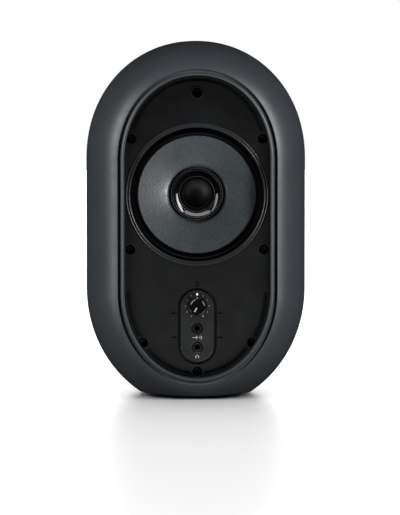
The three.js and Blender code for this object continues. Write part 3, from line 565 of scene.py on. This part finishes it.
def frontBaffle():
    outline = pill(lip["inset"] + baffle["gap"])
    driverHole = circle(driverLip["inner"] + 0.2, 0, driverHeight, 128)
    moat = stadium(pod["halfWidth"] + pod["moat"], pod["low"], pod["high"])
    podHole = stadium(pod["halfWidth"] + baffle["gap"], pod["low"], pod["high"])
    screwHoles = [circle(screwWell["radius"], x, z, 40) for x, z in baffleScrews]
    slit, notch, corner = slots["slit"], slots["notch"], slots["corner"]
    cutsAndShadeMarks = [roundedBox(slit["width"], slit["height"], corner, 0, pod["high"] + slit["above"])]
    for side in (-1, 1):
        for z in notch["heights"]:
            cutsAndShadeMarks.append(roundedBox(notch["width"], notch["height"], corner, side * notch["across"], z))
    runs = channelRuns()
    channels = [outer + inner[::-1] for outer, inner in runs]
    top = baffle["front"]
    skin, floor, base = [top + depth for depth in baffle["layers"]]
    layers = [
        plate(outline, [driverHole, moat, *screwHoles, *cutsAndShadeMarks, *channels], top, skin, baffle["bevel"]),
        plate(outline, [driverHole, moat, *screwHoles], skin, floor),
        plate(outline, [driverHole, podHole, *screwHoles], floor, base),
    ]
    for outer, inner in runs:  # the channel's floor slopes up to the middle
        layers.append(strip(outer, inner, top + 1.38, top + channel["rise"]))
    bottom = front + screwWell["bottom"]
    for x, z in baffleScrews:
        well = [(screwWell["radius"], top + 0.3), (screwWell["radius"], bottom), (screwWell["bore"], bottom)]
        layers.append(lathe(well, (x, z), 40))
    ring = [  # a raised edge round the topmost well
        (3.4, top + 0.3), (3.4, top - 0.3), (3.6, top - 0.5),
        (4.3, top - 0.5), (4.65, top - 0.3), (4.75, top),
    ]
    layers.append(lathe(ring, baffleScrews[0], 48))
    return joined("frontBaffle", layers, 16)


def driverTrim():
    inner, outer, top = driverLip["inner"], driverLip["outer"], baffle["front"]
    lipTop = top - driverLip["proud"]
    bead = [
        (inner - 0.35, top + 3.4),
        (inner - 0.35, top + 0.3),
        (inner + 0.05, lipTop + 0.5),
        *arc(inner + 0.6, lipTop + 0.5, 0.5, -180, -20, 8),
        (inner + 1.2, lipTop + 0.62),
        (inner + 1.75, lipTop + 0.66),
        *arc(outer - 0.6, lipTop + 0.62, 0.55, -150, -5, 8),
        (outer, top - 0.1),
        (outer + 0.2, top + 0.05),
    ]
    return meshPiece("driverTrim", *lathe(bead, (0, driverHeight), 320), 30)


dress(frontBaffle(), "baffle", "cabinet", "baffle", "front_baffle")
# painted highlight: the trim bead is baffle plastic, given the lighter trim black so that it shows as a lit
# line
dress(driverTrim(), "trim", "cabinet", "baffle")
print("baffle ready")


# control pod, with its knob, lamp, sockets and printed marks
podHoles = {"knob": 4.2, "lamp": 0.7, "jack": 4.15, "jackFloor": 3.3, "thickness": 3, "bevel": 0.3}
jacks = {"aux_jack": 49.1, "headphone_jack": 35.8}
jack = {"outer": 3.0, "bore": 1.85, "sunk": 0.5, "length": 12}
knob = {"height": 64.5, "length": 6.4, "grip": 6.18, "skirt": 6.75, "neck": 3.2, "gap": 0.4}
powerLamp = {"height": 72.5, "radius": 0.54, "proud": 0.1, "length": 4}
dial = {
    "stop": 210, "step": 30, "near": 7.7, "far": 8.5, "thin": 0.34, "wide": 0.36,
    "dot": 0.4, "dotRadius": 8.1,
}
printing = {"proud": 0.03, "sunk": 0.05}


def controlPanel():
    holes = [circle(podHoles["knob"], 0, knob["height"], 48)]
    holes.append(circle(podHoles["lamp"], 0, powerLamp["height"], 24))
    holes += [circle(podHoles["jack"], 0, z, 48) for z in jacks.values()]
    outline = stadium(pod["halfWidth"], pod["low"], pod["high"])
    base = podFront + podHoles["thickness"]
    parts = [plate(outline, holes, podFront, base, podHoles["bevel"])]
    floor = podHoles["jackFloor"]
    for z in jacks.values():
        sink = [(4.2, podFront + 0.02), (4.12, podFront + 0.1), (floor, podFront + 0.95), (floor, base)]
        parts.append(lathe(sink, (0, z), 64))
    return joined("controlPanel", parts, 16)


def frontJack(name, node):
    z, outer, bore = jacks[node], jack["outer"], jack["bore"]
    collar = podFront + jack["sunk"]
    profile = [
        (outer, collar + 5), (outer, collar + 0.4), (outer - 0.15, collar + 0.12), (outer - 0.4, collar),
        (bore + 0.25, collar), (bore + 0.05, collar + 0.15), (bore, collar + 0.4),
        (bore, collar + jack["length"]), (0, collar + jack["length"]),
    ]
    piece = meshPiece(name, *lathe(profile, (0, z), 56), 50)
    spring = meshPiece(name + "Contact", *block((-0.5, 0.5), (collar + 5, collar + 9), (z + 1.15, z + 1.6)))
    dress(spring, "steel", "cabinet", "steel")
    dress(piece, "black", "cabinet", "black", node)


def volumeKnob():
    base = podFront - knob["gap"]
    cap = base - knob["length"]
    grip, skirt = knob["grip"], knob["skirt"]
    profile = [
        (0, cap + 0.45), (3.6, cap + 0.45), (4.4, cap + 0.4), (4.85, cap + 0.12),
        *arc(5.35, cap + 0.42, 0.42, -130, -20, 6),
        (6.0, cap + 1.3), (grip, cap + 3.0), (6.3, base - 1.7),
        (6.4, base - 1.25), (6.6, base - 1.05), (skirt, base - 0.8), (skirt, base),
        (knob["neck"], base), (knob["neck"], base - 1),
    ]
    return meshPiece("volumeKnob", *lathe(profile, (0, knob["height"]), 96), 28)


def knobPointer():
    top = podFront - knob["gap"] - knob["length"] + 0.42
    bar = turnedBlock((-0.42, 0.42), (top, top + 0.2), (0.9, 4.5), dial["stop"], (0, knob["height"]))
    return meshPiece("knobPointer", *bar)


def powerLed():
    top = podFront - powerLamp["proud"]
    radius = powerLamp["radius"]
    profile = [
        (0, top - 0.02), (0.36, top), (0.5, top + 0.08),
        (radius, top + 0.3), (radius, top + powerLamp["length"]),
    ]
    return meshPiece("powerLed", *lathe(profile, (0, powerLamp["height"]), 28))


printDepth = (podFront - printing["proud"], podFront + printing["sunk"])


def dialMarks():  # the top mark is the lamp, and the last one is a dot
    centre, reach = (0, knob["height"]), (dial["near"], dial["far"])
    parts = []
    for step in range(1, 10):
        turn = dial["stop"] + dial["step"] * step
        if turn % 360 != 0:
            parts.append(turnedBlock((-dial["thin"], dial["thin"]), printDepth, reach, turn, centre))
    parts.append(turnedBlock((-dial["wide"], dial["wide"]), printDepth, reach, dial["stop"], centre))
    return joined("dialMarks", parts)


def fullMark():
    turn = math.radians(dial["stop"] + 10 * dial["step"])
    centre = (dial["dotRadius"] * math.sin(turn), knob["height"] + dial["dotRadius"] * math.cos(turn))
    proud, dot = podFront - 0.04, dial["dot"]
    return meshPiece("fullMark", *lathe([(0, proud), (dot, proud), (dot + 0.04, printDepth[1])], centre, 24))


def lineInMark():  # an arrow into a socket
    mark = {
        "z": 42.6, "line": 0.2, "from": -3.3, "tip": 0.3, "barb": 1.35,
        "ringX": 2.4, "inner": 0.68, "outer": 1.0,
    }
    z, line = mark["z"], mark["line"]
    parts = [block((mark["from"], 0.2), printDepth, (z - line, z + line))]
    for turn in (45, 135):
        parts.append(turnedBlock((-line, line), printDepth, (-mark["barb"], 0.1), turn, (mark["tip"], z)))
    low, high = podFront + printing["proud"], podFront - printing["proud"]
    ring = [(mark["inner"], low), (mark["inner"], high), (mark["outer"], high), (mark["outer"], low)]
    parts.append(lathe(ring, (mark["ringX"], z), 32))
    return joined("lineInMark", parts)


def headphoneMark():  # a band over two ear cups
    mark = {"z": 29.3, "outer": 1.12, "inner": 0.82, "cup": 0.5, "across": 0.97}
    z = mark["z"]
    band = arc(0, z, mark["outer"], 0, 180, 20) + arc(0, z, mark["inner"], 180, 0, 20)
    parts = [plate(band, [], *printDepth)]
    for side in (-1, 1):
        x = side * mark["across"]
        parts.append(block((x - mark["cup"] / 2, x + mark["cup"] / 2), printDepth, (z - 0.9, z + 0.15)))
    return joined("headphoneMark", parts)


dress(controlPanel(), "pod", "cabinet", "pod", "control_panel")
frontJack("auxJack", "aux_jack")
frontJack("headphoneJack", "headphone_jack")
dress(volumeKnob(), "gloss", "volume_control", "gloss", "volume_knob")
dress(knobPointer(), "printWhite", "volume_control", "white")
dress(dialMarks(), "print", "cabinet", "white")
dress(fullMark(), "printWhite", "cabinet", "white")
dress(powerLed(), "led", "cabinet", "led", "power_led")
dress(lineInMark(), "printWhite", "cabinet", "white")
dress(headphoneMark(), "printWhite", "cabinet", "white")
print("control pod ready")


# coaxial driver: depths are along Y, and smaller is nearer the front
axis = (0, driverHeight)
surround = {"inner": 41.0, "outer": 45.3, "seat": 46.05, "bulge": 0.85, "steps": 14}
spider = {"inner": 16.4, "outer": 34.8, "y": -28.3, "waves": (17.5, 31), "swell": 0.8, "thickness": 0.5}
cone = {"rim": (41.2, -48.5), "waist": (20.3, -43.2), "bow": 0.8, "thickness": 1.1, "steps": 32}
tweeter = {"lip": (16.3, -44.3), "throat": 13.1, "fall": 1.9, "bow": 0.8, "steps": 12}
tweeterBeads = [(17.75, -43.85, 0.36), (16.55, -44.3, 0.26), (12.15, -42.15, 0.3)]  # radius, depth, size
dome = {"radius": 9.4, "height": 3.7, "base": -41.7, "roll": 10.05, "rollRadius": 0.38, "steps": 24}


def radialBlend(piece):  # def radialBlend(piece): # bakes the piece's placement into its mesh
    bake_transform(piece)


def wooferSurround():
    inner, outer, seat = surround["inner"], surround["outer"], surround["seat"]
    middle, radius = (inner + outer) / 2, (outer - inner) / 2
    base = cone["rim"][1] - 0.1
    profile = [(40.4, base + 0.75), (40.6, base + 0.1), (inner, base - 0.05)]
    for k in range(surround["steps"] + 1):
        t = math.pi * k / surround["steps"]
        rise = radius * surround["bulge"] * math.sin(t)
        profile.append((middle - radius * math.cos(t), base - 0.3 - rise))
    profile += [(45.6, base - 0.3), (seat, base - 0.3), (seat, base + 0.3)]
    return meshPiece("wooferSurround", *lathe(profile, axis, 160), 60)


def wooferSpider():
    first, last = spider["waves"]
    face = []
    for k in range(61):
        radius = spider["inner"] + (spider["outer"] - spider["inner"]) * k / 60
        wave = math.sin((radius - first) / (last - first) * 6 * math.pi) if first < radius < last else 0
        face.append((radius, spider["y"] + spider["swell"] * wave))
    behind = [(radius, y + spider["thickness"]) for radius, y in reversed(face)]
    return meshPiece("wooferSpider", *lathe([*face, *behind, face[0]], axis, 72), 60)


def stretched(piece, look, node):
    piece.data.materials.append(materials[look])
    radialBlend(piece)
    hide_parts(node)


def wooferCone():
    waist, rim = cone["waist"], cone["rim"]
    face = [(16.2, -34.6), (17.6, -38.2), (18.9, -41.2), (19.6, -42.5), waist]
    for k in range(1, cone["steps"] + 1):
        share = k / cone["steps"]
        radius = waist[0] + (rim[0] - waist[0]) * share
        face.append((radius, waist[1] + (rim[1] - waist[1]) * share ** cone["bow"]))
    behind = [(radius, y + cone["thickness"]) for radius, y in reversed(face)]
    return meshPiece("wooferCone", *lathe([*face, *behind, face[0]], axis, 160), 60)


def tweeterHousing():
    hollow = []
    for k in range(tweeter["steps"] + 1):
        share = k / tweeter["steps"]
        radius = tweeter["lip"][0] - (tweeter["lip"][0] - tweeter["throat"]) * share
        hollow.append((radius, tweeter["lip"][1] + tweeter["fall"] * share ** tweeter["bow"]))
    profile = [
        (0, -36.2), (13, -36.2), (15.5, -39.0), (18.1, -42), (18.1, -43.4), (17.9, -43.6),
        (17.3, -43.4), (17.0, -43.35), (16.85, -43.6),
        *arc(16.6, -44.15, 0.22, 10, -120, 4),
        *hollow,
        (12.9, -42.1), (12.75, -41.75),
        (11.5, -41.65), (11.2, -41.6), (10.8, -41.6), (10.8, -38.4), (0, -38.4),
    ]
    return meshPiece("tweeterHousing", *lathe(profile, axis, 144), 55)


def tweeterRings():
    rings = []
    for radius, y, size in tweeterBeads:
        bead = [(radius + size, y + size), *arc(radius, y, size, 0, -180, 8), (radius - size, y + size)]
        rings.append(lathe(bead, axis, 144))
    return joined("tweeterRings", rings, 60)


def tweeterDome():
    radius, height, base = dome["radius"], dome["height"], dome["base"]
    sphere = (radius**2 + height**2) / (2 * height)
    profile = []
    for k in range(dome["steps"] + 1):
        r = radius * k / dome["steps"]
        profile.append((r, base - height + sphere - math.sqrt(sphere**2 - r**2)))
    profile += [(9.6, base + 0.05), *arc(dome["roll"], base + 0.05, dome["rollRadius"], 180, 360, 8)]
    profile += [(10.5, base + 0.3), (10.5, base + 0.6)]
    return meshPiece("tweeterDome", *lathe(profile, axis, 112), 60)


stretched(wooferSurround(), "rubber", "woofer_surround")
stretched(wooferSpider(), "phenolic", "woofer_spider")
dress(wooferCone(), "cone", "woofer_diaphragm", "cone", "woofer_cone")
dress(tweeterHousing(), "gloss", "cabinet", "gloss", "tweeter_housing")
# painted highlight: the beads belong to the gloss housing and take the lighter trim black so that they show
# as lit rings all round
dress(tweeterRings(), "trim", "cabinet", "gloss")
dress(tweeterDome(), "dome", "tweeter_diaphragm", "dome", "tweeter_dome")
print("driver ready")


# rear panel, port and connectors
panel = {"outer": 60.0, "thickness": 2.5, "gap": 0.3, "bevel": 0.3, "portHole": 17.3, "screwHole": 1.8}
bay = {"halfWidth": 28, "low": 58, "high": 146, "corner": 7, "floor": 48.2, "thickness": 2.2}
port = {"bore": 15, "outer": 17, "flange": 22.5, "flare": 5, "inside": 15, "steps": 12}
balanced = {"across": 14, "height": 108.5, "hole": 5.3, "bore": 3.3, "depth": 11, "ring": 7.85}
phono = {"across": 9, "height": 90, "hole": 4.9}
inletPin = {"x": 12.5, "apart": 4.3, "height": 71, "radius": 1.2, "length": 10}
rearScrews = [(0, 208.4), (-34.2, 118), (34.2, 118), (0, 32.7)]
screwHead = {"radius": 2.8, "shank": 1.25, "length": 8, "cross": 1.25, "turns": (20, 110)}


def rearPanel():
    height = bay["high"] - bay["low"]
    hollow = roundedBox(2 * bay["halfWidth"], height, bay["corner"], 0, bay["low"] + height / 2, 10)
    holes = [circle(panel["portHole"], 0, portHeight, 96), hollow]
    holes += [circle(panel["screwHole"], x, z, 28) for x, z in rearScrews]
    floorHoles = []
    for sockets in (balanced, phono):
        for side in (-1, 1):
            floorHoles.append(circle(sockets["hole"], side * sockets["across"], sockets["height"], 40))
    outer = panel["outer"]
    parts = [
        plate(pill(rear["inset"] + panel["gap"]), holes, outer - panel["thickness"], outer, panel["bevel"]),
        wall(hollow, outer - panel["bevel"], bay["floor"]),
        plate(hollow, floorHoles, bay["floor"], bay["floor"] - bay["thickness"]),
    ]
    return joined("rearPanel", parts, 16)


def portTube():
    bore, outer, flange, flare = port["bore"], port["outer"], port["flange"], port["flare"]
    face = panel["outer"]
    profile = [
        (outer, port["inside"]), (outer, face + 0.1), (flange - 0.3, face + 0.1), (flange, face + 0.4),
        (flange - 0.05, face + 0.9), (flange - 0.5, face + 1.45), (flange - 1.7, face + 1.62),
    ]
    for k in range(port["steps"], -1, -1):
        t = math.pi / 2 * k / port["steps"]
        profile.append((bore + flare * (1 - math.cos(t)), face + 1.6 - flare * (1 - math.sin(t))))
    profile += [(bore, 16), (bore + 0.6, 14.6), (bore + 1.2, 14.2), (outer, port["inside"])]
    return meshPiece("portTube", *lathe(profile, (0, portHeight), 128), 40)


def inletPins():
    base, radius = bay["floor"], inletPin["radius"]
    tip = [(0, base - 1.3), (0.8, base - 1.35), (radius, base - 1.9)]
    profile = [*tip, (radius, base - inletPin["length"])]
    places = [(inletPin["x"] + side * inletPin["apart"], inletPin["height"]) for side in (-1, 1)]
    return joined("inletPins", [lathe(profile, place, 24) for place in places], 50)


def balancedJack(name, side, node):
    base, bore = bay["floor"] + 0.1, balanced["bore"]
    place = (side * balanced["across"], balanced["height"])
    collar = [
        (6.8, base), (6.8, base + 1.5), (6.5, base + 1.9), (6.0, base + 2.5), (5.05, base + 2.5),
        (5.0, base + 3.9), (4.8, base + 4.1), (3.7, base + 4.1), (3.35, base + 3.8), (bore, base + 3.4),
        (bore, base - balanced["depth"]), (0, base - balanced["depth"]),
    ]
    dress(meshPiece(name, *lathe(collar, place, 64), 30), "black", "cabinet", "black", node)
    ring = [(5.1, base + 2.55), (6.3, base + 2.55), (6.45, base + 2.45), (6.45, base + 2.2)]
    dress(meshPiece(name + "Nut", *lathe(ring, place, 6), 20), "steel", "cabinet", "steel")


def phonoJack(name, node, side, look):
    base = bay["floor"] + 0.1
    place = (side * phono["across"], phono["height"])
    collar = [
        (6.4, base), (6.4, base + 0.9), (6.15, base + 1.2), (4.9, base + 1.2), (4.7, base + 1.4),
        (4.7, base + 2.4), (4.2, base + 2.4),
    ]
    barrel = [
        (4.15, base + 1), (4.15, base + 8.5), (3.95, base + 8.85), (3.4, base + 8.9), (3.15, base + 8.6),
        (3.1, base + 3), (0, base + 3),
    ]
    core = [
        (3.0, base + 3), (3.0, base + 7.6), (2.7, base + 7.9), (1.9, base + 7.9), (1.7, base + 7.5),
        (1.7, base + 4), (0, base + 4),
    ]
    dress(meshPiece(name, *lathe(collar, place, 64), 30), look, "cabinet", look, node)
    dress(meshPiece(name + "Ring", *lathe(barrel, place, 64), 30), "steel", "cabinet", "steel")
    dress(meshPiece(name + "Core", *lathe(core, place, 48), 30), look, "cabinet", look)


def panHead(name, node, x, z):
    seat = panel["outer"] + 0.1
    radius, shank, cross = screwHead["radius"], screwHead["shank"], screwHead["cross"]
    head = [
        (0, seat + 1.75), (1.2, seat + 1.7), (2.1, seat + 1.35), (2.65, seat + 0.7), (radius, seat),
        (shank, seat), (shank, seat - screwHead["length"]),
    ]
    dress(meshPiece(name, *lathe(head, (x, z), 40), 40), "blackSteel", "cabinet", "black_steel", node)
    # painted shade: the cross recess is not cut; dark bars in rubber black set into the head stand in for
    # the shade inside it
    cutsAndShadeMarks = []
    for turn in screwHead["turns"]:
        cutsAndShadeMarks.append(turnedBlock((-0.22, 0.22), (seat + 1.2, seat + 1.83), (-cross, cross), turn, (x, z)))
    dress(joined(name + "Recess", cutsAndShadeMarks), "rubber", "cabinet", "black_steel")


def bayMarks():  # a thin printed ring round each balanced socket
    base, radius = bay["floor"] + 0.02, balanced["ring"]
    ring = [(radius - 0.25, base), (radius, base + 0.03), (radius + 0.25, base)]
    places = [(side * balanced["across"], balanced["height"]) for side in (-1, 1)]
    return joined("bayMarks", [lathe(ring, place, 64) for place in places])


dress(rearPanel(), "rear", "cabinet", "baffle", "rear_panel")
dress(portTube(), "black", "cabinet", "black", "port_tube")
dress(inletPins(), "steel", "cabinet", "steel")
balancedJack("balancedJackLeft", 1, "balanced_jack_left")
balancedJack("balancedJackRight", -1, "balanced_jack_right")
phonoJack("phonoJackWhite", "phono_jack_white", 1, "white")
phonoJack("phonoJackRed", "phono_jack_red", -1, "red")
for k, (x, z) in enumerate(rearScrews):
    panHead(f"rearScrew{k + 1}", f"rear_screw_{k + 1}", x, z)
dress(bayMarks(), "print", "cabinet", "white")
print("rear ready")


# floor, light and camera, in metres and watts
studio = {
    "tone": 0.80, "roughness": 0.31, "floorLight": 4.6, "floorLightAngle": 120, "glow": 80, "middle": 0.125,
}


def studioFloor():
    mesh = bpy.data.meshes.new("floor")
    mesh.from_pydata([(-6, -6, 0), (6, -6, 0), (6, 3.2, 0), (-6, 3.2, 0)], [], [(0, 1, 2, 3)])
    piece = bpy.data.objects.new("floor", mesh)
    bpy.context.scene.collection.objects.link(piece)
    colour = (studio["tone"],) * 3
    paint = newMaterial("floor paint", colour, studio["roughness"], drift=0.003, grain=0.0, marks=0.01)
    mesh.materials.append(paint)
    piece.visible_diffuse = False
    piece.visible_glossy = False
    piece.visible_shadow = False
    return piece


def onlyFor(light, targets, name):
    receivers = bpy.data.collections.new(name)
    for target in targets:
        receivers.objects.link(target)
    light.light_linking.receiver_collection = receivers


def softbox(name, place, aim, width, height, power):
    light = bpy.data.lights.new(name, "AREA")
    light.shape = "RECTANGLE"
    light.size, light.size_y = width, height
    light.energy = power
    thing = bpy.data.objects.new(name, light)
    bpy.context.scene.collection.objects.link(thing)
    thing.location = place
    thing.rotation_euler = (Vector(aim) - Vector(place)).to_track_quat("-Z", "Y").to_euler()
    return thing


def outward(azimuth, elevation):  # from the front, positive to the right and up
    a, e = math.radians(azimuth), math.radians(elevation)
    return Vector((math.sin(a) * math.cos(e), -math.cos(a) * math.cos(e), math.sin(e)))


def pieces(*names):
    return [bpy.data.objects[name] for name in names]


def studioWorld():  # a white backdrop that lights nothing
    world = bpy.data.worlds.new("studio")
    bpy.context.scene.world = world
    world.use_nodes = True
    world.cycles_visibility.diffuse = False
    world.cycles_visibility.glossy = False
    backdrop = world.node_tree.nodes["Background"]
    backdrop.inputs["Color"].default_value = (1, 1, 1, 1)
    backdrop.inputs["Strength"].default_value = 1.0


def floorLights(floor):
    sun = bpy.data.lights.new("floor light", "SUN")
    sun.energy = studio["floorLight"]
    sun.angle = math.radians(studio["floorLightAngle"])
    thing = bpy.data.objects.new("floorLight", sun)
    bpy.context.scene.collection.objects.link(thing)
    onlyFor(thing, [floor], "floor only")
    glow = softbox("backGlow", (0, 3.2, 0.9), (0, 0, 0), 6.0, 1.8, studio["glow"])
    glow.visible_camera = False
    onlyFor(glow, [floor], "floor sheen")


studioWorld()
floor = studioFloor()
floorLights(floor)
tweeterPieces = pieces("tweeterHousing", "tweeterDome", "tweeterRings")
conePieces = pieces("wooferCone")
bafflePieces = pieces(
    "frontBaffle", "controlPanel", "volumeKnob", "auxJack", "headphoneJack", "knobPointer", "dialMarks",
    "fullMark", "lineInMark", "headphoneMark")
bafflePieces += [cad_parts[name] for name in screwNodes]
rimPieces = [shell, *pieces("driverTrim")]
frontPieces = [*rimPieces, *bafflePieces, *tweeterPieces, *conePieces, *pieces("wooferSurround"), floor]
allPieces = [thing for thing in bpy.context.scene.objects if thing.type == "MESH"]
otherPieces = [thing for thing in allPieces if thing not in frontPieces]

# azimuth, elevation, distance, width, height, power, and what each softbox lights
softboxes = {
    "wrapRight": (47, 14, 1.7, 0.5, 0.9, 32, rimPieces),
    "wrapLeft": (-56, 12, 1.7, 0.6, 0.9, 26, rimPieces),
    "baffleRight": (30, -32, 0.75, 0.5, 0.3, 2.2, bafflePieces),
    "baffleLeft": (-35, -25, 0.8, 0.4, 0.3, 1.6, bafflePieces),
    "edges": (0, 64, 0.9, 0.8, 0.3, 5, bafflePieces),
    "coneKey": (46, -6, 1.7, 0.3, 0.4, 29, conePieces),
    "coneFill": (-50, -8, 1.7, 0.3, 0.4, 4, conePieces),
    "bounce": (0, -40, 1.7, 0.7, 0.5, 3, [*conePieces, *pieces("wooferSurround")]),
    "tweeterRight": (50, 19, 1.7, 0.25, 1.4, 15, tweeterPieces),
    "tweeterLeft": (-50, 19, 1.7, 0.2, 1.4, 4, tweeterPieces),
    "tweeterTop": (0, 50, 1.2, 1.4, 0.3, 5, tweeterPieces),
    "frontFill": (-30, 30, 1.7, 0.8, 0.8, 20, otherPieces),
    "backKey": (180, 0, 0.7, 0.12, 0.16, 1.3, [shell]),
    "backSide": (146, 34, 0.9, 0.3, 0.3, 8, otherPieces),
}
for name, (azimuth, elevation, distance, width, height, power, lit) in softboxes.items():
    middle = Vector((0, 0, studio["middle"]))
    light = softbox(name, middle + distance * outward(azimuth, elevation), middle, width, height, power)
    onlyFor(light, lit, name + " pieces")


def studioCamera():
    view = {
        "azimuth": -1.55, "elevation": 3.57, "distance": 2.4, "height": 0.1235,
        "right": 0.0034, "down": 0.02924, "lens": 306.27, "sensor": 36, "near": 0.05, "far": 50,
    }
    centre = Vector((0, 0, view["height"]))
    away = outward(view["azimuth"], view["elevation"])
    place = centre + view["distance"] * away
    right = (-away).cross(Vector((0, 0, 1))).normalized()
    up = right.cross(-away)
    aim = centre + right * view["right"] - up * view["down"]
    data = bpy.data.cameras.new("camera")
    data.sensor_fit = "HORIZONTAL"
    data.sensor_width = view["sensor"]
    data.lens = view["lens"]
    data.clip_start, data.clip_end = view["near"], view["far"]
    camera = bpy.data.objects.new("camera", data)
    bpy.context.scene.collection.objects.link(camera)
    camera.location = place
    camera.rotation_euler = (aim - place).to_track_quat("-Z", "Y").to_euler()
    bpy.context.scene.camera = camera


studioCamera()
bpy.context.scene.view_settings.view_transform = "Standard"
print("studio ready")
